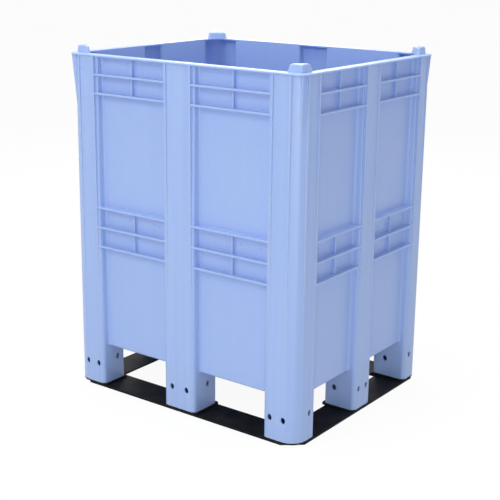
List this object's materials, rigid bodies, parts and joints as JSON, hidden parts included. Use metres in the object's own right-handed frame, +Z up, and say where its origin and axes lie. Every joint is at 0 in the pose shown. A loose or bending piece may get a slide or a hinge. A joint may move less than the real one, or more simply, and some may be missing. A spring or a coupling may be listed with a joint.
{
  "type": "plastic pallet box",
  "caption": "Tall one-piece plastic pallet box with ribbed panels, corner stacking lugs and hollow feet on a flat black base ring, open for forks from all sides.",
  "frame": {"origin": "middle of the floor under the box, at the underside of the black base", "axes": "+Z up, +X along the long side, -Y out of the long side that the picture shows, +X out of the short side that it shows"},
  "size_m": [1.2, 1, 1.505],
  "materials": {
    "blue_plastic": "satin moulded, light blue",
    "black_plastic": "matt, near black"
  },
  "bodies": {
    "root": {"box_body": "blue_plastic", "front_left_runner": "black_plastic", "front_right_runner": "black_plastic", "back_right_runner": "black_plastic", "back_left_runner": "black_plastic", "front_left_foot_cap": "black_plastic", "front_right_foot_cap": "black_plastic", "back_right_foot_cap": "black_plastic", "back_left_foot_cap": "black_plastic", "front_foot_cap": "black_plastic", "right_foot_cap": "black_plastic", "back_foot_cap": "black_plastic", "left_foot_cap": "black_plastic", "centre_foot_cap": "black_plastic"}
  },
  "joints": []
}
